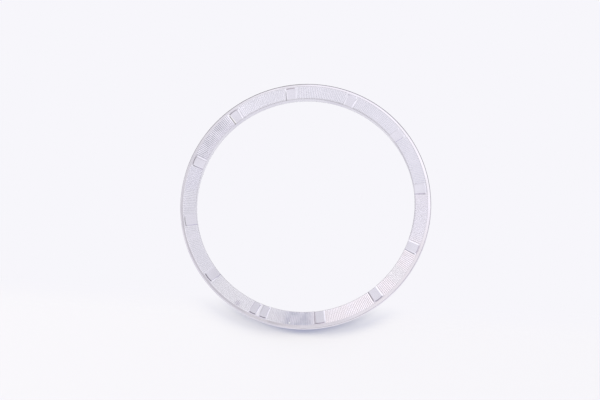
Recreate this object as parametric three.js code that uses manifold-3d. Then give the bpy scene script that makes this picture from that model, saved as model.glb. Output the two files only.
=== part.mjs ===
// Engine-turned bezel for a round wristwatch: one steel ring, pressed on to the case neck.
// The ring lies flat on its seat. +Z runs along the bore and out of the reeded front face,
// +Y points at twelve o'clock, and the origin is on the bore's axis in the plane of the seat.
// Lengths are in millimetres, and angles are in degrees until radians() turns them.

import * as THREE from 'three';
import { ConvexGeometry } from 'three/addons/geometries/ConvexGeometry.js';
import { mergeVertices } from 'three/addons/utils/BufferGeometryUtils.js';
import Module from 'manifold-3d';

const wasm = await Module();
wasm.setup();

// The ring's section
const crystalBore = 29.3;
const ringWidth = 2.2;
const ringHeight = 1.7;
const faceRise = 0.05;
const boreEdgeBevel = 0.05;
const rimStep = 0.1;
const rimStepWidth = 0.04;
const rimBevelWidth = 0.22;
const rimBevelDrop = 0.09;
const rimRound = 0.2;
const undersideBevelWidth = 0.5;
const undersideBevelHeight = 0.8;

// The register under the bore, a step that drops over the case neck
const registerStep = 0.6;
const registerDepth = 0.3;
const registerLeadIn = 0.1;

// The engine-turned reeds, cut by a V tool in straight strokes that lean off the radius
const reedsPerHour = 35;
const reedDepth = 0.09;
const reedToolAngle = 110;
const reedLean = 3.5;
const reedRunIn = 2.6;
const reedRunOut = 0.6;
const reedClearance = 0.05;

// The plain hour pockets, which interrupt the reeds: widths are across a pocket's floor
const hours = 12;
const pocketWidth = 1.2;
const pairedPocketWidth = 0.78;
const pairedPocketLand = 0.28;
const pocketDepth = 0.13;
const pocketFlank = 0.165;
const pocketEndFlank = 0.14;
const pocketRimWall = 0.04;
const pocketEndRadius = 3.2;

// How finely round forms are stepped, and how far a pocket's cut runs past the metal
const ringSteps = 96;
const roundSteps = 3;
const pocketEndSteps = 6;
const cutOverrun = 0.3;

// Sizes worked out from the ones above
const boreRadius = crystalBore / 2;
const outerRadius = boreRadius + ringWidth;
const registerRadius = boreRadius + registerStep;
const faceInnerRadius = boreRadius + boreEdgeBevel;
const roundInnerRadius = outerRadius - rimRound;
const faceOuterRadius = roundInnerRadius - rimBevelWidth - rimStepWidth;
const faceRimHeight = ringHeight - faceRise;
const faceWidth = faceOuterRadius - faceInnerRadius;
const faceMidRadius = (faceOuterRadius + faceInnerRadius) / 2;
const faceMidHeight = (ringHeight + faceRimHeight) / 2;
const faceSlope = Math.atan2(faceRise, faceWidth);
const hourAngle = 360 / hours;
const reedAngle = hourAngle / reedsPerHour;
const reedHalfWidth = reedDepth * Math.tan(radians(reedToolAngle / 2));
const pairOffset = (pairedPocketWidth + pairedPocketLand) / 2 + pocketFlank;
const twelveOClock = 90;

function radians(degrees) {
  return THREE.MathUtils.degToRad(degrees);
}

function steelMaterial() {
  return new THREE.MeshStandardMaterial({ color: 0xd9d7de, roughness: 0.25, metalness: 1 });
}

// A closed mesh becomes a solid once the vertices that its faces share are merged.
function solidOf(geometry) {
  const bare = geometry.clone();
  bare.deleteAttribute('normal');
  bare.deleteAttribute('uv');
  const merged = mergeVertices(bare);
  return new wasm.Manifold(new wasm.Mesh({
    numProp: 3,
    vertProperties: new Float32Array(merged.attributes.position.array),
    triVerts: new Uint32Array(merged.index.array),
  }));
}

function geometryOf(solid) {
  const mesh = solid.getMesh();
  const geometry = new THREE.BufferGeometry();
  geometry.setAttribute('position', new THREE.BufferAttribute(mesh.vertProperties, 3));
  geometry.setIndex(new THREE.BufferAttribute(mesh.triVerts, 1));
  geometry.computeVertexNormals();
  return geometry;
}

// Below the polished rim bevel a quarter round rolls over into the outer wall.
function rimRoundPoints() {
  const points = [];
  const roundTop = faceRimHeight - rimStep - rimBevelDrop;
  for (let step = 0; step <= roundSteps; step += 1) {
    const turn = (Math.PI / 2) * (step / roundSteps);
    points.push(new THREE.Vector2(
      roundInnerRadius + rimRound * Math.sin(turn),
      roundTop - rimRound * (1 - Math.cos(turn)),
    ));
  }
  return points;
}

// The ring before engraving: its section, turned about the bore's axis. A small step ends
// the face, so that the strokes run out over it and leave the polished rim bevel whole.
function turnedRing() {
  const section = [
    new THREE.Vector2(faceInnerRadius, ringHeight),
    new THREE.Vector2(boreRadius, ringHeight - boreEdgeBevel),
    new THREE.Vector2(boreRadius, registerDepth),
    new THREE.Vector2(registerRadius, registerDepth),
    new THREE.Vector2(registerRadius, registerLeadIn),
    new THREE.Vector2(registerRadius + registerLeadIn, 0),
    new THREE.Vector2(outerRadius - undersideBevelWidth, 0),
    new THREE.Vector2(outerRadius, undersideBevelHeight),
    ...rimRoundPoints().reverse(),
    new THREE.Vector2(faceOuterRadius + rimStepWidth, faceRimHeight - rimStep),
    new THREE.Vector2(faceOuterRadius, faceRimHeight),
    new THREE.Vector2(faceInnerRadius, ringHeight),
  ];
  const ring = new THREE.LatheGeometry(section, ringSteps);
  ring.rotateX(Math.PI / 2);
  return solidOf(ring);
}

// Cutters are drawn about the middle of the face at three o'clock, with x outwards. This
// leans one off the radius, tilts it to the face's slope and moves it out to the face.
function seatOnFace(cutter) {
  cutter.rotateZ(-radians(reedLean));
  cutter.rotateY(faceSlope);
  cutter.translate(faceMidRadius, 0, faceMidHeight);
  return cutter;
}

// One stroke of the V tool: a slim pyramid that lies on its keel, with its point inside the
// bore and its flanks at the tool's angle. The flanks clear the face from the bore outwards.
function reedStroke() {
  const point = faceInnerRadius - reedRunIn - faceMidRadius;
  const heel = faceOuterRadius + reedRunOut - faceMidRadius;
  const heelTop = (reedDepth + reedClearance) * ((heel - point) / reedRunIn);
  const heelHalf = heelTop * Math.tan(radians(reedToolAngle / 2));
  return seatOnFace(new ConvexGeometry([
    new THREE.Vector3(point, 0, -reedDepth),
    new THREE.Vector3(heel, 0, -reedDepth),
    new THREE.Vector3(heel, heelHalf, heelTop - reedDepth),
    new THREE.Vector3(heel, -heelHalf, heelTop - reedDepth),
  ]));
}

// The strokes leave a plain land at each hour, just wide enough for its pocket.
function firstReedAfter(hour) {
  const floorReach = hour === 0 ? pairOffset + pairedPocketWidth / 2 : pocketWidth / 2;
  const landReach = floorReach + pocketFlank + reedHalfWidth;
  return Math.ceil(landReach / (faceMidRadius * radians(reedAngle)));
}

function allReedStrokes() {
  const stroke = reedStroke();
  const strokes = [];
  for (let hour = 0; hour < hours; hour += 1) {
    const hourDirection = twelveOClock - hour * hourAngle;
    const last = reedsPerHour - firstReedAfter((hour + 1) % hours);
    for (let reed = firstReedAfter(hour); reed <= last; reed += 1) {
      const turned = stroke.clone().rotateZ(radians(hourDirection - reed * reedAngle));
      strokes.push(solidOf(turned));
    }
  }
  return wasm.Manifold.union(strokes);
}

// A pocket's outline in plan: sides that widen with the radius, open at the bore, and an
// arched outer end. It is the floor's outline when grown is 0, and the mouth's when it is 1.
function pocketOutline(width, offset, grown) {
  const bore = faceInnerRadius - cutOverrun - faceMidRadius;
  const crown = faceOuterRadius - pocketRimWall - pocketEndFlank - faceMidRadius;
  const boreHalf = (width / 2) * (1 + bore / faceMidRadius) + grown * pocketFlank;
  const endHalf = (width / 2) * (1 + crown / faceMidRadius) + grown * pocketFlank;
  const archRadius = pocketEndRadius + grown * pocketEndFlank;
  const archTurn = Math.asin(endHalf / archRadius);
  const archCentre = crown - pocketEndRadius;
  const outline = [new THREE.Vector2(bore, offset - boreHalf)];
  for (let step = 0; step <= pocketEndSteps; step += 1) {
    const turn = archTurn * (2 * (step / pocketEndSteps) - 1);
    outline.push(new THREE.Vector2(
      archCentre + archRadius * Math.cos(turn),
      offset + archRadius * Math.sin(turn),
    ));
  }
  outline.push(new THREE.Vector2(bore, offset + boreHalf));
  return outline;
}

// The pocket's cutter rises from its floor to its mouth with a sloped flank on every side.
function pocketCutter(width, offset, hour) {
  const floor = pocketOutline(width, offset, 0);
  const mouth = pocketOutline(width, offset, 1);
  const cutter = seatOnFace(new ConvexGeometry([
    ...floor.map((point) => new THREE.Vector3(point.x, point.y, -pocketDepth)),
    ...mouth.map((point) => new THREE.Vector3(point.x, point.y, 0)),
    ...mouth.map((point) => new THREE.Vector3(point.x, point.y, cutOverrun)),
  ]));
  return solidOf(cutter.rotateZ(radians(twelveOClock - hour * hourAngle)));
}

// Twelve o'clock has a pair of narrower pockets with a land between them.
function allPockets() {
  const cutters = [
    pocketCutter(pairedPocketWidth, pairOffset, 0),
    pocketCutter(pairedPocketWidth, -pairOffset, 0),
  ];
  for (let hour = 1; hour < hours; hour += 1) {
    cutters.push(pocketCutter(pocketWidth, 0, hour));
  }
  return wasm.Manifold.union(cutters);
}

function bezelRing() {
  const solid = turnedRing().subtract(allReedStrokes()).subtract(allPockets());
  const ring = new THREE.Mesh(geometryOf(solid), steelMaterial());
  ring.name = 'bezel_ring';
  return ring;
}

const watchBezel = new THREE.Group();
watchBezel.add(bezelRing());

export default watchBezel;
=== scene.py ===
# The looks of an engine-turned watch bezel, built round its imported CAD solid.
# The frame is the CAD's: +Z out of the reeded face, +Y towards twelve o'clock, metres.
# Lengths below are in millimetres and angles in degrees, unless a comment says otherwise.

import math

import bpy
import numpy as np
from mathutils import Matrix, Vector


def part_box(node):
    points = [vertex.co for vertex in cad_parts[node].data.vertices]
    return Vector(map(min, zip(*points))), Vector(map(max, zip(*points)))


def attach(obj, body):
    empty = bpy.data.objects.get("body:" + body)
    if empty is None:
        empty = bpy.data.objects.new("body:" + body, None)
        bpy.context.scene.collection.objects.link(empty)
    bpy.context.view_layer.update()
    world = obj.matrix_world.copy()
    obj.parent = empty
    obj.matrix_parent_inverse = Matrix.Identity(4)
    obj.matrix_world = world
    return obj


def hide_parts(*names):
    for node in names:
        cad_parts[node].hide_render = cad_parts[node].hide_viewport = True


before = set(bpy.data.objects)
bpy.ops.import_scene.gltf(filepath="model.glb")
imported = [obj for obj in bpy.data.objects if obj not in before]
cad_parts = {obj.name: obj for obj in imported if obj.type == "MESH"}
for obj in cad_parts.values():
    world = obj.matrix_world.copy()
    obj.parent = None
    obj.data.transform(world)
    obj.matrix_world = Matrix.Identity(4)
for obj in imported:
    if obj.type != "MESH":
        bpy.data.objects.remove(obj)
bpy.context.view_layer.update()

# A millimetre in metres, and the CAD node that the ring stands for
MM = 0.001
NODE = "bezel_ring"

# The ring's section. Its outside and its height come from the CAD solid's box.
OUTER_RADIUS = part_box(NODE)[1].x / MM
RING_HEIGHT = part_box(NODE)[1].z / MM
BORE_RADIUS = 14.65
FACE_RISE = 0.05
BORE_EDGE_BEVEL = 0.05
RIM_STEP = 0.1
RIM_STEP_WIDTH = 0.04
RIM_BEVEL_WIDTH = 0.22
RIM_BEVEL_DROP = 0.09
RIM_ROUND = 0.2
UNDERSIDE_BEVEL_WIDTH = 0.5
UNDERSIDE_BEVEL_HEIGHT = 0.8
REGISTER_STEP = 0.6
REGISTER_DEPTH = 0.3
REGISTER_LEAD_IN = 0.1
EDGE_BREAK = 0.04

# The reeds, straight V strokes that lean off the radius
REEDS_PER_HOUR = 35
REED_DEPTH = 0.09
REED_TOOL_ANGLE = 110
REED_LEAN = 3.5

# The plain hour pockets: widths are across a pocket's floor
HOURS = 12
TWELVE_O_CLOCK = 90
POCKET_WIDTH = 1.2
PAIRED_POCKET_WIDTH = 0.78
PAIRED_POCKET_LAND = 0.28
POCKET_DEPTH = 0.13
POCKET_FLANK = 0.165
POCKET_END_FLANK = 0.14
POCKET_RIM_WALL = 0.04
POCKET_END_RADIUS = 3.2

# Where the engraved rows hand over to the plain bore, and how finely forms are stepped
BORE_PLAIN_TOP = 1.48
REED_COLUMN_SHARES = (0.0, 0.045, 0.25, 0.45)
POCKET_COLUMNS = 14
FLANK_COLUMNS = 3
LAND_STEP = 0.11
FACE_ROW_SHARES = (0.2, 0.4, 0.6, 0.8, 1.0)
POCKET_WALL_SHARES = (0.5, 1.0)
RIM_LAND_SHARES = (0.5, 1.0)
RIM_BEVEL_ROWS = 3
RIM_ROUND_STEPS = 7
EDGE_STEPS = 3
# The least step between plain columns, as a share of a reed's
PLAIN_STEP_SHARE = 0.95
# How far to the side a pocket's arched end is followed, as a share of its radius
ARCH_REACH_SHARE = 0.99
# Edges that turn by more than this stay sharp.
SHARP_EDGE = 25

# The photographed view, in pixels of a picture of this width: how the ring lay before the
# camera. Its axis tips towards an angle in the picture, and twelve o'clock lies at another.
PHOTO_WIDTH = 600
PIXELS_PER_MM = 7.4386
CAMERA_DISTANCE = 400
AXIS_TILT = 13.84
AXIS_DIRECTION = 105.99
TWELVE_IN_PICTURE = 247.47
RING_SHIFT = (0.802, -0.995)
SENSOR_WIDTH = 36
# Where the camera's view starts and ends, as shares of its distance
CLIP_SHARES = (0.1, 100)

# Worked out from the values above. The angles of an hour and of a reed are in radians.
FACE_INNER = BORE_RADIUS + BORE_EDGE_BEVEL
ROUND_INNER = OUTER_RADIUS - RIM_ROUND
BEVEL_INNER = ROUND_INNER - RIM_BEVEL_WIDTH
FACE_OUTER = BEVEL_INNER - RIM_STEP_WIDTH
FACE_MID = (FACE_INNER + FACE_OUTER) / 2
FACE_RIM_HEIGHT = RING_HEIGHT - FACE_RISE
FACE_SLOPE = FACE_RISE / (FACE_OUTER - FACE_INNER)
RIM_SLOPE = RIM_BEVEL_DROP / RIM_BEVEL_WIDTH
BEVEL_TOP = FACE_RIM_HEIGHT - RIM_STEP
REGISTER_RADIUS = BORE_RADIUS + REGISTER_STEP
SEAT_OUTER = OUTER_RADIUS - UNDERSIDE_BEVEL_WIDTH
HOUR_ANGLE = math.radians(360 / HOURS)
REED_ANGLE = HOUR_ANGLE / REEDS_PER_HOUR
REED_PITCH = REED_ANGLE * FACE_MID
REED_SPREAD = math.tan(math.radians(REED_TOOL_ANGLE / 2))
REED_HALF_WIDTH = REED_DEPTH * REED_SPREAD
PAIR_OFFSET = (PAIRED_POCKET_WIDTH + PAIRED_POCKET_LAND) / 2 + POCKET_FLANK
ARCH_CROWN = FACE_OUTER - POCKET_RIM_WALL - POCKET_END_FLANK
ARCH_CENTRE = ARCH_CROWN - POCKET_END_RADIUS
PICTURE_TURN = TWELVE_IN_PICTURE - TWELVE_O_CLOCK

# Each face of the mesh has one of these finishes, in the order of FINISHES below.
ENGRAVED, POCKET, POCKET_END, POLISHED, RIM_EDGE, TURNED, DARK_BORE_EDGE = range(7)
# The rows of the engraved part's faces, counted from the plain bore outwards
BORE_ROW = 0
BORE_EDGE_ROW = 1
FIRST_WALL_ROW = BORE_EDGE_ROW + 1 + len(FACE_ROW_SHARES)
FIRST_LAND_ROW = FIRST_WALL_ROW + len(POCKET_WALL_SHARES)
RIM_STEP_ROW = FIRST_LAND_ROW + len(RIM_LAND_SHARES)
# The rows of the plain section that the rim's round, the outer wall and its lower edge take
RIM_EDGE_ROWS = RIM_ROUND_STEPS + 1 + EDGE_STEPS
# A distance that stands for being nowhere near a reed or a pocket
NO_CUT = 99.0
# Directions in the section, for its arcs
OUTWARDS = 0
UP = 90
DOWN = -90
INWARDS = -180


def sine(angle):
    return math.sin(math.radians(angle))


def cosine(angle):
    return math.cos(math.radians(angle))


def picture_from_ring():
    """The rotation from the part's frame to the picture's: x right, y up, z to the camera."""
    across = Vector((-sine(AXIS_DIRECTION), cosine(AXIS_DIRECTION), 0))
    tip = Matrix.Rotation(math.radians(AXIS_TILT), 3, across)
    return tip @ Matrix.Rotation(math.radians(PICTURE_TURN), 3, "Z")


def picture_direction(angle, elevation=0):
    """The direction in the part's frame of an angle in the picture, at a height above it."""
    turn = angle - PICTURE_TURN
    return Vector((
        cosine(turn) * cosine(elevation),
        sine(turn) * cosine(elevation),
        sine(elevation),
    ))


def hour_pockets(hour):
    """(offset of its middle, half of its floor's width) of each pocket at an hour."""
    if hour == 0:
        half = PAIRED_POCKET_WIDTH / 2
        return [(-PAIR_OFFSET, half), (PAIR_OFFSET, half)]
    return [(0.0, POCKET_WIDTH / 2)]


def land_reach(hour):
    """How far from an hour its pockets reach, flanks included."""
    offset, half = hour_pockets(hour)[-1]
    return offset + half + POCKET_FLANK


def first_reed_after(hour):
    """The number of the first reed past an hour's pockets, counted from the hour."""
    return math.ceil((land_reach(hour) + REED_HALF_WIDTH) / REED_PITCH)


def evenly(start, end, count):
    """count places from start up to end, with end left out."""
    return [start + (end - start) * step / count for step in range(count)]


def land_columns(start, end):
    """Columns over plain land, where there is no pocket."""
    count = max(1, round((end - start) / LAND_STEP))
    return [(place, NO_CUT, 0.0) for place in evenly(start, end, count)]


def hour_columns(hour):
    """Columns over an hour's land and pockets: (place, distance from the middle of a pocket,
    half of its floor's width)."""
    columns = []
    reached = -first_reed_after(hour) * REED_PITCH + REED_HALF_WIDTH
    for middle, half in hour_pockets(hour):
        left = middle - half
        right = middle + half
        columns += land_columns(reached, left - POCKET_FLANK)
        breaks = [
            (left - POCKET_FLANK, left, FLANK_COLUMNS),
            (left, right, POCKET_COLUMNS),
            (right, right + POCKET_FLANK, FLANK_COLUMNS),
        ]
        for start, end, steps in breaks:
            columns += [(place, place - middle, half) for place in evenly(start, end, steps)]
        reached = right + POCKET_FLANK
    return columns + land_columns(reached, first_reed_after(hour) * REED_PITCH - REED_HALF_WIDTH)


def reed_columns(hour, next_hour):
    """Columns over the reeds from an hour to the next: (place, distance to the valley)."""
    first = first_reed_after(hour)
    last = REEDS_PER_HOUR - first_reed_after(next_hour)
    columns = [(first * REED_PITCH - REED_HALF_WIDTH, REED_HALF_WIDTH)]
    for reed in range(first, last + 1):
        valley = reed * REED_PITCH
        for share in reversed(REED_COLUMN_SHARES[1:]):
            columns.append((valley - share * REED_PITCH, share * REED_PITCH))
        for share in REED_COLUMN_SHARES:
            columns.append((valley + share * REED_PITCH, share * REED_PITCH))
        if reed < last:
            columns.append((valley + REED_PITCH / 2, REED_PITCH * REED_COLUMN_SHARES[-1]))
    return columns


def all_columns():
    """Every column round the ring, anticlockwise from twelve o'clock, as four arrays: its
    angle in radians, its distances from a reed's valley and from a pocket's middle, and
    half of that pocket's floor."""
    columns = []
    for turn in range(HOURS):
        hour = (-turn) % HOURS
        next_hour = (-turn - 1) % HOURS
        base = math.radians(TWELVE_O_CLOCK) + turn * HOUR_ANGLE
        for place, middle, half in hour_columns(hour):
            columns.append((base + place / FACE_MID, NO_CUT, middle, half))
        for place, reed in reed_columns(hour, next_hour):
            columns.append((base + place / FACE_MID, reed, NO_CUT, 0.0))
    return [np.array(values) for values in zip(*columns)]


def lean_shift(radius):
    """How far a column has turned at a radius, in radians, because the strokes lean."""
    along = radius - FACE_MID
    return np.arctan2(-along * sine(REED_LEAN), FACE_MID + along * cosine(REED_LEAN))


def face_height(radius):
    return RING_HEIGHT - FACE_SLOPE * (radius - FACE_INNER)


def section_height(radius):
    """The uncut top of the ring, from the bore's edge bevel to the end of the rim bevel."""
    edge = RING_HEIGHT - np.maximum(FACE_INNER - radius, 0)
    step = FACE_RIM_HEIGHT - RIM_STEP * (radius - FACE_OUTER) / RIM_STEP_WIDTH
    bevel = BEVEL_TOP - RIM_SLOPE * (radius - BEVEL_INNER)
    rim = np.where(radius < BEVEL_INNER, step, bevel)
    return np.minimum(np.minimum(edge, face_height(radius)), rim)


def arch(offset):
    """Where a pocket's floor ends at an offset from its middle, and the cosine of the arch's
    turn there."""
    aside = np.clip(offset / POCKET_END_RADIUS, -ARCH_REACH_SHARE, ARCH_REACH_SHARE)
    ahead = np.sqrt(1 - aside * aside)
    return ARCH_CENTRE + POCKET_END_RADIUS * ahead, ahead


def engraved_radii(end, wall):
    """The radius of every engraved row at every column, from where the pockets' floors end
    and how wide their end walls are."""
    all_round = np.ones(len(end))
    radii = [BORE_RADIUS * all_round, FACE_INNER * all_round]
    radii += [FACE_INNER + (end - FACE_INNER) * share for share in FACE_ROW_SHARES]
    radii += [end + wall * share for share in POCKET_WALL_SHARES]
    land = end + wall
    radii += [land + (FACE_OUTER - land) * share for share in RIM_LAND_SHARES]
    radii += [
        (BEVEL_INNER + RIM_BEVEL_WIDTH * row / RIM_BEVEL_ROWS) * all_round
        for row in range(RIM_BEVEL_ROWS + 1)
    ]
    return np.array(radii)


def engraved_rows(columns):
    """The radius and height of every engraved row at every column, from bore to rim."""
    _, reed, middle, half = columns
    in_pocket = middle < NO_CUT
    end, ahead = arch(np.where(in_pocket, middle, POCKET_WIDTH / 2 + POCKET_FLANK))
    radii = engraved_radii(end, POCKET_END_FLANK / ahead)
    scale = radii / FACE_MID
    reed_cut = REED_DEPTH - reed * scale / REED_SPREAD
    beside = (np.abs(middle) - half) * scale
    beyond = (radii - end) * ahead
    outside = np.maximum(np.maximum(beside / POCKET_FLANK, beyond / POCKET_END_FLANK), 0)
    pocket_cut = np.where(in_pocket, POCKET_DEPTH * (1 - outside), 0)
    cut = np.maximum(reed_cut, pocket_cut)
    # Where nothing is cut, the full height leaves the section as it is.
    cut_height = np.where(cut > 0, face_height(radii) - cut, RING_HEIGHT)
    return radii, np.minimum(section_height(radii), cut_height)


def engraved_points(columns):
    """The points of the engraved rows, after one row round the plain bore."""
    angle = columns[0]
    radii, heights = engraved_rows(columns)
    radii = np.vstack([np.full((1, len(angle)), BORE_RADIUS), radii])
    heights = np.vstack([np.full((1, len(angle)), BORE_PLAIN_TOP), heights])
    turned = angle + lean_shift(radii)
    return np.stack([radii * np.cos(turned), radii * np.sin(turned), heights], axis=-1)


def arc(centre, radius, start, end, steps):
    """Points of the section on an arc, from one direction to another."""
    turns = [start + (end - start) * step / steps for step in range(steps + 1)]
    return [
        (centre[0] + radius * cosine(turn), centre[1] + radius * sine(turn)) for turn in turns
    ]


def plain_section():
    """The section that no cut reaches, from the rim round down, under and up to the bore."""
    rim_end = UP - math.degrees(math.atan(RIM_SLOPE))
    touch = ROUND_INNER + RIM_ROUND * cosine(rim_end)
    rim = (ROUND_INNER, float(section_height(touch)) - RIM_ROUND * sine(rim_end))
    bevel = math.degrees(math.atan2(-UNDERSIDE_BEVEL_WIDTH, UNDERSIDE_BEVEL_HEIGHT))
    wall_edge = (OUTER_RADIUS - EDGE_BREAK, UNDERSIDE_BEVEL_HEIGHT)
    seat_edge = (SEAT_OUTER - EDGE_BREAK, EDGE_BREAK)
    bore_edge = (BORE_RADIUS + EDGE_BREAK, REGISTER_DEPTH + EDGE_BREAK)
    return [
        *arc(rim, RIM_ROUND, rim_end, OUTWARDS, RIM_ROUND_STEPS),
        *arc(wall_edge, EDGE_BREAK, OUTWARDS, bevel, EDGE_STEPS),
        *arc(seat_edge, EDGE_BREAK, bevel, DOWN, EDGE_STEPS),
        (REGISTER_RADIUS + REGISTER_LEAD_IN, 0.0),
        (REGISTER_RADIUS, REGISTER_LEAD_IN),
        (REGISTER_RADIUS, REGISTER_DEPTH),
        *arc(bore_edge, EDGE_BREAK, DOWN, INWARDS, EDGE_STEPS),
        (BORE_RADIUS, (REGISTER_DEPTH + BORE_PLAIN_TOP) / 2),
    ]


def plain_columns(angle):
    """The columns that the plain forms share: one for each reed and a few at each land."""
    chosen = [0]
    for column in range(1, len(angle)):
        if angle[column] - angle[chosen[-1]] >= REED_ANGLE * PLAIN_STEP_SHARE:
            chosen.append(column)
    return chosen


def plain_points(angles, section):
    """The points of the plain rows, one row for each point of the section."""
    points = []
    for radius, height in section:
        shift = float(lean_shift(radius))
        for angle in angles:
            turn = angle + shift
            points.append((radius * math.cos(turn), radius * math.sin(turn), height))
    return points


def quad(start, width, row, column):
    """The face between two columns of a band of rows, which closes round the ring."""
    here = start + row * width
    above = here + width
    after = (column + 1) % width
    return (here + column, above + column, above + after, here + after)


def finish_at(row, in_pocket, on_floor):
    """The finish of an engraved face. A pocket's runs on over the first row of the land."""
    if row == BORE_ROW:
        return TURNED
    if row == BORE_EDGE_ROW:
        return DARK_BORE_EDGE
    if row > RIM_STEP_ROW:
        return POLISHED
    if on_floor and FIRST_WALL_ROW <= row <= FIRST_LAND_ROW:
        return POCKET_END
    if in_pocket and row <= FIRST_LAND_ROW:
        return POCKET
    return ENGRAVED


def engraved_faces(columns, rows):
    """The faces between the engraved rows, and the finish of each."""
    _, _, middle, half = columns
    in_pocket = middle < NO_CUT
    on_floor = np.abs(middle) < half
    faces, finishes = [], []
    for row in range(rows - 1):
        for column in range(len(middle)):
            faces.append(quad(0, len(middle), row, column))
            finishes.append(finish_at(row, in_pocket[column], on_floor[column]))
    return faces, finishes


def ring_mesh():
    """One closed mesh: engraved rows over the top, plain rows round the rest. Faces with
    many corners join the engraved rows' columns to the fewer ones of the plain rows."""
    columns = all_columns()
    points = engraved_points(columns)
    rows, count = points.shape[:2]
    faces, finishes = engraved_faces(columns, rows)
    chosen = plain_columns(columns[0])
    width = len(chosen)
    section = plain_section()
    top = rows * count
    bottom = top + (len(section) - 1) * width
    verts = points.reshape(-1, 3).tolist() + plain_points(columns[0][chosen], section)
    for place in range(width):
        after = (place + 1) % width
        last = chosen[after] if after else count
        span = [column % count for column in range(chosen[place], last + 1)]
        rim = [(rows - 1) * count + column for column in reversed(span)]
        faces.append((*rim, top + place, top + after))
        finishes.append(POLISHED)
        for row in range(len(section) - 1):
            faces.append(quad(top, width, row, place))
            finishes.append(RIM_EDGE if row < RIM_EDGE_ROWS else TURNED)
        faces.append((*span, bottom + after, bottom + place))
        finishes.append(TURNED)
    return verts, faces, finishes


def build_ring(materials):
    verts, faces, finishes = ring_mesh()
    mesh = bpy.data.meshes.new("bezel_ring_fine")
    mesh.from_pydata([[length * MM for length in vert] for vert in verts], [], faces)
    for material in materials:
        mesh.materials.append(material)
    mesh.polygons.foreach_set("material_index", finishes)
    mesh.polygons.foreach_set("use_smooth", [True] * len(faces))
    mesh.set_sharp_from_angle(angle=math.radians(SHARP_EDGE))
    mesh.update()
    ring = bpy.data.objects.new("engraved_ring", mesh)
    bpy.context.scene.collection.objects.link(ring)
    return ring


class Shader:
    """A node tree that is written as a few plain calls."""

    def __init__(self, tree):
        self.tree = tree
        self.nodes = tree.nodes
        self.nodes.clear()

    def add(self, kind, **settings):
        node = self.nodes.new(kind)
        for name, value in settings.items():
            setattr(node, name, value)
        return node

    def join(self, value, socket):
        """Link a socket to another node's output, or set it to a constant."""
        if isinstance(value, bpy.types.NodeSocket):
            self.tree.links.new(value, socket)
        else:
            socket.default_value = value

    def math(self, operation, *values):
        node = self.add("ShaderNodeMath", operation=operation)
        for value, socket in zip(values, node.inputs):
            self.join(value, socket)
        return node.outputs[0]

    def plus(self, first, second):
        return self.math("ADD", first, second)

    def minus(self, first, second):
        return self.math("SUBTRACT", first, second)

    def times(self, first, second):
        return self.math("MULTIPLY", first, second)

    def dot(self, vector, direction):
        node = self.add("ShaderNodeVectorMath", operation="DOT_PRODUCT")
        self.join(vector, node.inputs[0])
        node.inputs[1].default_value = direction
        return node.outputs["Value"]

    def ramp(self, value, low, high, to_low=0.0, to_high=1.0):
        """A smooth step from to_low, where the value is low, to to_high, where it is high."""
        node = self.add("ShaderNodeMapRange", interpolation_type="SMOOTHSTEP")
        self.join(value, node.inputs["Value"])
        node.inputs["From Min"].default_value = low
        node.inputs["From Max"].default_value = high
        node.inputs["To Min"].default_value = to_low
        node.inputs["To Max"].default_value = to_high
        return node.outputs["Result"]

    def noise(self, vector, scale, detail, roughness):
        node = self.add("ShaderNodeTexNoise")
        self.join(vector, node.inputs["Vector"])
        node.inputs["Scale"].default_value = scale
        node.inputs["Detail"].default_value = detail
        node.inputs["Roughness"].default_value = roughness
        return node.outputs["Fac"]

    def mix(self, factor, first, second):
        node = self.add("ShaderNodeMix", data_type="RGBA")
        self.join(factor, node.inputs["Factor"])
        self.join(first, node.inputs["A"])
        self.join(second, node.inputs["B"])
        return node.outputs["Result"]

    def blend(self, factor, first, second):
        """The first surface or background where the factor is 0, and the second where it is 1."""
        node = self.add("ShaderNodeMixShader")
        for value, socket in zip((factor, first.outputs[0], second.outputs[0]), node.inputs):
            self.join(value, socket)
        return node

    def output(self, kind, surface):
        self.join(surface.outputs[0], self.add(kind).inputs["Surface"])


def linear(*srgb):
    """A colour given as it looks, 0 to 255, as the linear colour that the shader takes, by
    the curve of the sRGB standard."""
    shares = [value / 255 for value in srgb]
    return tuple(
        c / 12.92 if c <= 0.04045 else ((c + 0.055) / 1.055) ** 2.4 for c in shares
    ) + (1.0,)


def new_material(name):
    material = bpy.data.materials.new(name)
    material.use_nodes = True
    return material, Shader(material.node_tree)


# Noises of the metal: (scale, detail, roughness). The marks of the tools are stretched by
# each finish's grain, clouds shift tint and satin, and a mottle breaks up the patches of painted
# light and shade.
TOOL_MARKS = (1.0, 3.0, 0.6)
CLOUDS = (260.0, 3.0, 0.5)
MOTTLE = (900.0, 2.0, 0.5)
# The levels of the clouds between which the tint and the satin change, and of the mottle
CLOUD_TINT_LEVELS = (0.35, 0.7)
CLOUD_SATIN_LEVELS = (0.3, 0.7)
MOTTLE_LEVELS = (0.3, 0.55)
# What the clouds make of the roughness, what tool marks add to it, and how the patches of
# painted light vary
CLOUD_SATIN_SHARES = (0.8, 1.2)
TOOL_MARKS_SHARE = 0.3
MOTTLE_SHARES = (0.6, 1.0)
# How strongly a band along the bore's edge shows
BAND_SHARE = 0.9
# How finely the tool marks lie outwards, round the ring and up, per millimetre
ALONG_REEDS = (0.6, 22.0, 22.0)
ROUND_RING = (26.0, 0.5, 26.0)
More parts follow.
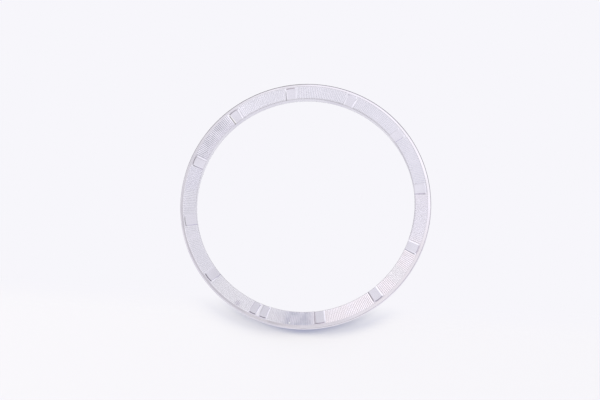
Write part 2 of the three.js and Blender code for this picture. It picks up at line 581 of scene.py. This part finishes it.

# Stretches of the reeds whose colour is painted light and shade, warmer, cooler, lighter or
# darker for what the steel reflects there, some also duller, set by comparing renders with the
# photograph. Each is (middle, inner and outer reach) in degrees round the picture, the colour
# and how many times rougher.
REED_PAINTED_LIGHT_AND_DULLING = [
    ((52, 38, 60), linear(233, 231, 241), 1.0),
    ((146, 8.5, 18.5), linear(208, 206, 216), 1.0),
    ((200, 36, 50), linear(231, 229, 238), 1.4),
    ((172, 8, 16), linear(228, 226, 235), 1.1),
    ((232, 7, 13), linear(236, 234, 241), 1.3),
    ((112, 11, 15), linear(234, 232, 241), 1.7),
    ((308, 26, 42), linear(236, 230, 237), 1.0),
    ((1, 2, 5), linear(238, 232, 242), 1.0),
    ((265.2, 4.5, 11.3), linear(209, 208, 221), 2.4),
    ((353, 7, 13), linear(240, 237, 246), 2.4),
    ((322, 2, 5), linear(239, 236, 242), 2.0),
    ((256.5, 2.5, 5.5), linear(232, 230, 237), 2.2),
    ((165, 5, 9), linear(231, 229, 239), 2.2),
]
# Painted highlights and painted shade on the pockets' sides, lighter or darker than their floors
# there: the angle of each side's middle in the picture, with its colour, and how far round the
# ring a side reaches
PAINTED_SIDE_LIGHT = {
    4.9: linear(211, 205, 218),
    64.9: linear(222, 219, 230),
    70.0: linear(243, 240, 252),
    100.0: linear(246, 243, 254),
    125.0: linear(212, 209, 220),
    130.0: linear(255, 252, 255),
    155.0: linear(200, 197, 208),
    160.0: linear(239, 236, 248),
    275.0: linear(207, 201, 214),
    305.0: linear(230, 224, 237),
    335.0: linear(239, 236, 248),
    340.0: linear(224, 221, 232),
}
SIDE_REACH = (0.5, 0.8)
# Stretches of painted light and shade of the same kind on the pockets, their ends, the rim's
# round and wall, its bevel
POCKET_PAINTED_LIGHT = [((262, 22, 30), linear(222, 219, 231), 1.0)]
POCKET_PAINTED_LIGHT += [((angle, *SIDE_REACH), colour, 1.0) for angle, colour in PAINTED_SIDE_LIGHT.items()]
# Painted shade on the pockets' far ends, with a painted highlight on the one at 187 degrees
END_PAINTED_LIGHT = [
    ((22, 20, 35), linear(199, 197, 208), 1.0),
    ((67, 5, 12), linear(198, 195, 207), 1.0),
    ((187, 5, 10), linear(246, 243, 252), 1.0),
    ((322, 20, 30), linear(168, 164, 176), 1.0),
    ((97, 5, 10), linear(215, 208, 220), 1.0),
    ((157, 5, 10), linear(220, 214, 226), 1.0),
    ((277, 5, 10), linear(197, 190, 203), 1.0),
    ((338, 3, 8), linear(178, 172, 184), 1.0),
]
# Painted light and shade on the rim's round and wall: the ring's dark outline, darkest at the
# upper left, and a painted contact shadow at the lower left
EDGE_PAINTED_LIGHT = [
    ((265, 32, 55), linear(227, 223, 231), 1.0),
    ((150, 30, 60), linear(190, 185, 194), 1.0),
    ((116, 20, 30), linear(153, 149, 156), 1.0),
    ((345, 42, 54), linear(228, 223, 233), 1.0),
    ((15, 14, 24), linear(236, 232, 240), 1.0),
    ((180, 14, 24), linear(213, 208, 217), 1.0),
    ((237, 13, 26), linear(208, 204, 214), 1.0),
    ((308, 4, 10), linear(237, 232, 242), 1.0),
]
# Painted light and shade on the rim's bevel, darker beside some pockets' ends
RIM_PAINTED_LIGHT = [
    ((148, 40, 56), linear(234, 230, 240), 1.0),
    ((180, 14, 22), linear(237, 233, 243), 1.0),
    ((270, 12, 24), linear(216, 211, 220), 1.0),
    ((322, 20, 32), linear(232, 226, 234), 1.0),
    ((7.5, 3, 6), linear(219, 215, 223), 1.0),
    ((37.5, 3, 6), linear(219, 215, 223), 1.0),
    ((97, 3, 7), linear(221, 217, 226), 1.0),
    ((247, 3, 7), linear(238, 233, 242), 1.0),
]
# Small marks on the reeds, a darker spot and a painted glint: (angle, radius, inner and outer
# reach), and the colour there
SPOT_AND_GLINT = [
    ((236.3, 16.1, 0.1, 0.6), linear(219, 215, 226)),
    ((263, 16.2, 0.06, 0.16), linear(254, 254, 254)),
]
# Bands along the bore's edge, one darker over a stretch of the ring and one lighter, duller and
# smoothed: the stretch of the ring, how far from the edge the band is full and where it ends,
# the colour there and the dulling
DARKER_BORE_BAND = ((65, 75, 95), (0.0, 0.2), linear(212, 209, 218), 1.0)
SMOOTHED_BAND = ((144, 12, 19), (0.3, 0.8), linear(226, 223, 234), 1.9)

# The finishes, in the order of the numbers that the mesh's faces carry. Each has its colour in
# the clear and in the clouded places, its roughness, and the run and height of its tool marks.
# Where its look changes round the ring, it also has patches of painted light and shade, spots
# and bands.
FINISHES = {
    "engraved_steel": {
        "tint": linear(240, 237, 247), "shade": linear(236, 233, 243), "roughness": 0.20,
        "grain": ALONG_REEDS, "grain_height": 0.0006,
        "painted_light_patches": REED_PAINTED_LIGHT_AND_DULLING, "marks": SPOT_AND_GLINT, "bands": [DARKER_BORE_BAND, SMOOTHED_BAND],
    },
    "pocket_steel": {
        "tint": linear(230, 227, 239), "shade": linear(221, 218, 230), "roughness": 0.12,
        "grain": ALONG_REEDS, "grain_height": 0.0008,
        "painted_light_patches": POCKET_PAINTED_LIGHT, "bands": [DARKER_BORE_BAND],
    },
    # Painted shade: the pockets' far ends are tinted darker than the rest of the steel, for the
    # shade in their recesses.
    "pocket_end_steel": {
        "tint": linear(208, 202, 215), "shade": linear(202, 196, 209), "roughness": 0.15,
        "grain": ALONG_REEDS, "grain_height": 0.0008, "painted_light_patches": END_PAINTED_LIGHT,
    },
    "polished_steel": {
        "tint": linear(227, 223, 233), "shade": linear(223, 218, 229), "roughness": 0.10,
        "grain": ROUND_RING, "grain_height": 0.0004, "painted_light_patches": RIM_PAINTED_LIGHT,
    },
    # Painted shade: the rim's round and wall are tinted darker than the rest of the steel, for
    # the dark line at the ring's outline.
    "rim_edge_steel": {
        "tint": linear(206, 201, 213), "shade": linear(201, 196, 208), "roughness": 0.12,
        "grain": ROUND_RING, "grain_height": 0.0004, "painted_light_patches": EDGE_PAINTED_LIGHT,
    },
    "turned_steel": {
        "tint": linear(227, 225, 233), "shade": linear(221, 218, 228), "roughness": 0.24,
        "grain": ROUND_RING, "grain_height": 0.0015,
    },
    # The bore's edge bevel, darker and rougher than the turned steel beside it
    "dark_bore_edge_steel": {
        "tint": linear(205, 202, 210), "shade": linear(195, 192, 200), "roughness": 0.35,
        "grain": ROUND_RING, "grain_height": 0.0015,
    },
}


def polar(shader, place):
    """(radius, arc length, height) in millimetres of a place in the part's own frame."""
    split = shader.add("ShaderNodeSeparateXYZ")
    shader.join(place, split.inputs[0])
    x, y, z = split.outputs
    radius = shader.math("SQRT", shader.plus(shader.times(x, x), shader.times(y, y)))
    turn = shader.math("ARCTAN2", y, x)
    return (
        shader.math("DIVIDE", radius, MM),
        shader.times(turn, FACE_MID),
        shader.math("DIVIDE", z, MM),
    )


def stretched(shader, lengths, shares):
    """A vector of three lengths, each stretched by its own share."""
    node = shader.add("ShaderNodeCombineXYZ")
    for value, share, socket in zip(lengths, shares, node.inputs):
        shader.join(shader.times(value, share), socket)
    return node.outputs[0]


def stretch_of_ring(shader, place, radius, stretch):
    """1 on a stretch of the ring, fading to 0 past its ends."""
    angle, inner, outer = stretch
    along = shader.dot(place, picture_direction(angle))
    nearness = shader.math("DIVIDE", along, shader.times(radius, MM))
    return shader.ramp(nearness, cosine(outer), cosine(inner))


def spot(shader, place, mark):
    """1 inside a small round mark on the face, fading to 0 at its rim."""
    angle, radius, inner, outer = mark
    middle = picture_direction(angle) * radius + Vector((0, 0, FACE_RIM_HEIGHT))
    node = shader.add("ShaderNodeVectorMath", operation="DISTANCE")
    shader.join(place, node.inputs[0])
    node.inputs[1].default_value = middle * MM
    return shader.ramp(node.outputs["Value"], inner * MM, outer * MM, 1.0, 0.0)


def inner_band(shader, place, radius, stretch, reach):
    """Near 1 along the bore's edge on a stretch of the ring, fading to 0 across the face."""
    full, end = reach
    near = shader.ramp(radius, FACE_INNER + full, FACE_INNER + end, BAND_SHARE, 0.0)
    return shader.times(near, stretch_of_ring(shader, place, radius, stretch))


def mottled_painted_light(shader, place, radius, painted_light_patches):
    """(where it is, its colour, its dulling) of each patch of painted light, broken up by one
    mottle.
    """
    mottle = shader.ramp(shader.noise(place, *MOTTLE), *MOTTLE_LEVELS, *MOTTLE_SHARES)
    return [
        (shader.times(mottle, stretch_of_ring(shader, place, radius, stretch)), colour, dulling)
        for stretch, colour, dulling in painted_light_patches
    ]


def changes(shader, place, radius, finish):
    """The same of every change in a finish round the ring, in the order they are laid."""
    found = []
    if "painted_light_patches" in finish:
        found += mottled_painted_light(shader, place, radius, finish["painted_light_patches"])
    for mark, colour in finish.get("marks", []):
        found.append((spot(shader, place, mark), colour, 1.0))
    for stretch, reach, colour, dulling in finish.get("bands", []):
        found.append((inner_band(shader, place, radius, stretch, reach), colour, dulling))
    return found


def wandering_satin(shader, cloud, marks, roughness):
    """A roughness that the clouds raise and lower and that the tool marks raise."""
    low, high = CLOUD_SATIN_SHARES
    satin = shader.ramp(cloud, *CLOUD_SATIN_LEVELS, roughness * low, roughness * high)
    return shader.plus(satin, shader.times(marks, roughness * TOOL_MARKS_SHARE))


def steel(name, finish):
    """Bare steel: a tint that wanders, a satin that wanders, and fine tool marks."""
    material, shader = new_material(name)
    roughness = finish["roughness"]
    place = shader.add("ShaderNodeTexCoord").outputs["Object"]
    lengths = polar(shader, place)
    marks = shader.noise(stretched(shader, lengths, finish["grain"]), *TOOL_MARKS)
    cloud = shader.noise(place, *CLOUDS)
    colour = shader.mix(
        shader.ramp(cloud, *CLOUD_TINT_LEVELS), finish["tint"], finish["shade"]
    )
    satin = wandering_satin(shader, cloud, marks, roughness)
    # Patches of painted light and shade, spots and bands are mixed into the tint here.
    for mask, colour_there, dulling in changes(shader, place, lengths[0], finish):
        colour = shader.mix(mask, colour, colour_there)
        satin = shader.plus(satin, shader.times(mask, roughness * (dulling - 1)))
    bump = shader.add("ShaderNodeBump")
    bump.inputs["Strength"].default_value = 1.0
    bump.inputs["Distance"].default_value = finish["grain_height"] * MM
    shader.join(marks, bump.inputs["Height"])
    surface = shader.add("ShaderNodeBsdfPrincipled")
    surface.inputs["Metallic"].default_value = 1.0
    shader.join(colour, surface.inputs["Base Color"])
    shader.join(satin, surface.inputs["Roughness"])
    shader.join(bump.outputs[0], surface.inputs["Normal"])
    shader.output("ShaderNodeOutputMaterial", surface)
    return material


def build_camera():
    rotation = picture_from_ring().transposed()
    shift = Vector((*RING_SHIFT, 0))
    place = rotation @ (Vector((0, 0, CAMERA_DISTANCE)) - shift)
    data = bpy.data.cameras.new("camera")
    data.sensor_width = SENSOR_WIDTH
    data.lens = SENSOR_WIDTH * PIXELS_PER_MM * CAMERA_DISTANCE / PHOTO_WIDTH
    data.clip_start, data.clip_end = [CAMERA_DISTANCE * MM * share for share in CLIP_SHARES]
    camera = bpy.data.objects.new("camera", data)
    camera.matrix_world = Matrix.Translation(place * MM) @ rotation.to_4x4()
    bpy.context.scene.collection.objects.link(camera)
    bpy.context.scene.camera = camera


WHITE = (1.0, 1.0, 1.0, 1.0)
BACKGROUND = linear(247, 246, 251)
# The matte floor under the lamps, which the lens sees in the shadow, as linear levels
FLOOR_COLOUR = (0.55, 0.57, 0.72, 1.0)
FLOOR_SIZE = 4000
# The floor lies a hair below the seat, so that the two never share a plane.
FLOOR_DROP = 0.02
# Towards this angle in the picture the floor takes the ring's shadow, and the distances from
# the ring's middle where that starts and where it is full
SHADOW_SIDE = 266
SHADOW_REACH = (12.5, 16)
# Towards this angle the metal sees the floor dimmer, between these distances, by this share
DIM_SIDE = 85
DIM_REACH = (-4, 10)
DIM_SHARE = 0.6


def towards_side(shader, place, side, reach, share=1.0):
    """0 until the start of a reach towards an angle in the picture, and share at its end."""
    start, full = reach
    along = shader.dot(place, picture_direction(side))
    return shader.ramp(along, start * MM, full * MM, 0.0, share)


def outside_ring(shader, place):
    """0 inside the ring's opening and 1 under the ring and beyond it."""
    length = shader.add("ShaderNodeVectorMath", operation="LENGTH")
    shader.join(place, length.inputs[0])
    return shader.ramp(length.outputs["Value"], BORE_RADIUS * MM, REGISTER_RADIUS * MM)


def floor_material():
    """A white sweep. The lens sees it as flat white, apart from the ring's shadow outside
    the ring on the side away from the lamps, and the metal sees it dimmer on one side. It
    shows from above only, so that it never hides the ring's underside."""
    material, shader = new_material("sweep")
    place = shader.add("ShaderNodeTexCoord").outputs["Object"]
    outside = outside_ring(shader, place)
    rays = shader.add("ShaderNodeLightPath")
    glossy = rays.outputs["Is Glossy Ray"]
    matte = shader.add("ShaderNodeBsdfDiffuse")
    matte.inputs["Color"].default_value = FLOOR_COLOUR
    glow = shader.add("ShaderNodeEmission")
    glow.inputs["Color"].default_value = BACKGROUND
    dim = towards_side(shader, place, DIM_SIDE, DIM_REACH, DIM_SHARE)
    unlit = shader.times(shader.times(glossy, dim), outside)
    shader.join(shader.minus(1.0, unlit), glow.inputs["Strength"])
    shaded = shader.times(towards_side(shader, place, SHADOW_SIDE, SHADOW_REACH), outside)
    flat = shader.times(rays.outputs["Is Camera Ray"], shader.minus(1.0, shaded))
    from_above = shader.blend(shader.math("MAXIMUM", flat, glossy), matte, glow)
    from_below = shader.add("ShaderNodeBsdfTransparent")
    below = shader.add("ShaderNodeNewGeometry").outputs["Backfacing"]
    shader.output("ShaderNodeOutputMaterial", shader.blend(below, from_above, from_below))
    return material


def build_floor():
    half = FLOOR_SIZE * MM / 2
    mesh = bpy.data.meshes.new("floor")
    level = -FLOOR_DROP * MM
    corners = [(-half, -half), (half, -half), (half, half), (-half, half)]
    mesh.from_pydata([(x, y, level) for x, y in corners], [], [(0, 1, 2, 3)])
    mesh.materials.append(floor_material())
    floor = bpy.data.objects.new("floor", mesh)
    bpy.context.scene.collection.objects.link(floor)


# The studio round the ring. Its sky is even but for soft windows and screens, each given by
# (angle in the picture, half of its width, from and to which elevation, change of strength).
SKY_LEVEL = 1.0
WINDOWS = [
    (45, 52, -20, 16, -0.6),
    (212, 34, 4, 32, 0.42),
    (165, 40, -20, 6, 0.8),
    (305, 46, -20, 21, -0.6),
    (55, 47, 29, 65, 0.3),
    (190, 58, 38, 65, -0.25),
    (145, 32, 30, 50, -0.18),
    (310, 45, 26, 38, -0.05),
]
# How far a window's sides, and its lower and upper edges, fade inwards and outwards
SIDE_SOFTNESS = 14
EDGE_SOFTNESS = 6
# A dimmer round patch of the ceiling, given as (angle, elevation, inner and outer reach, change)
CEILING = (188, 76, 12, 21, -0.115)


def sky_window(shader, flat, rise, window):
    """The light that a window adds, from the direction's flat part and its rise."""
    angle, half, low, high, change = window
    side = shader.ramp(
        shader.dot(flat, picture_direction(angle)),
        cosine(half + SIDE_SOFTNESS),
        cosine(half - SIDE_SOFTNESS),
    )
    above = shader.ramp(rise, sine(low - EDGE_SOFTNESS), sine(low + EDGE_SOFTNESS))
    below = shader.ramp(
        rise, sine(high - EDGE_SOFTNESS), sine(high + EDGE_SOFTNESS), change, 0.0
    )
    return shader.times(side, shader.times(above, below))


def sky_light(shader):
    """The strength of the sky in every direction."""
    towards = shader.add("ShaderNodeTexCoord").outputs["Generated"]
    split = shader.add("ShaderNodeSeparateXYZ")
    shader.join(towards, split.inputs[0])
    x, y, rise = split.outputs
    level_part = shader.add("ShaderNodeCombineXYZ")
    shader.join(x, level_part.inputs[0])
    shader.join(y, level_part.inputs[1])
    flat = shader.add("ShaderNodeVectorMath", operation="NORMALIZE")
    shader.join(level_part.outputs[0], flat.inputs[0])
    angle, elevation, inner, outer, change = CEILING
    near = shader.dot(towards, picture_direction(angle, elevation))
    light = shader.ramp(near, cosine(outer), cosine(inner), SKY_LEVEL, SKY_LEVEL + change)
    for window in WINDOWS:
        light = shader.plus(sky_window(shader, flat.outputs[0], rise, window), light)
    return light


def build_world():
    """The sky that lights the ring. The lens sees the plain background instead."""
    world = bpy.data.worlds.new("studio")
    world.use_nodes = True
    bpy.context.scene.world = world
    shader = Shader(world.node_tree)
    sky = shader.add("ShaderNodeBackground")
    sky.inputs["Color"].default_value = WHITE
    shader.join(sky_light(shader), sky.inputs["Strength"])
    backdrop = shader.add("ShaderNodeBackground")
    backdrop.inputs["Color"].default_value = BACKGROUND
    camera = shader.add("ShaderNodeLightPath").outputs["Is Camera Ray"]
    shader.output("ShaderNodeOutputWorld", shader.blend(camera, sky, backdrop))


# The soft lamps that throw the shadow: (name, angle, elevation, power in watts)
LAMPS = [
    ("top_lamp", 90, 72, 1.3),
    ("left_lamp", 164, 28, 6.4),
    ("right_lamp", 12, 26, 4.3),
]
LAMP_COLOUR = (1.0, 0.889, 0.492)
LAMP_DISTANCE = 900
LAMP_SIZE = 288


def build_lamps():
    for name, angle, elevation, power in LAMPS:
        data = bpy.data.lights.new(name, "AREA")
        data.shape = "DISK"
        data.size = LAMP_SIZE * MM
        data.energy = power
        data.color = LAMP_COLOUR
        lamp = bpy.data.objects.new(name, data)
        towards = picture_direction(angle, elevation)
        lamp.location = towards * LAMP_DISTANCE * MM
        lamp.rotation_mode = "QUATERNION"
        lamp.rotation_quaternion = towards.to_track_quat("Z", "Y")
        lamp.visible_glossy = False
        bpy.context.scene.collection.objects.link(lamp)


bpy.context.scene.view_settings.view_transform = "Standard"
ring = build_ring([steel(name, finish) for name, finish in FINISHES.items()])
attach(ring, "root")
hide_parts(NODE)
build_camera()
build_floor()
build_world()
build_lamps()
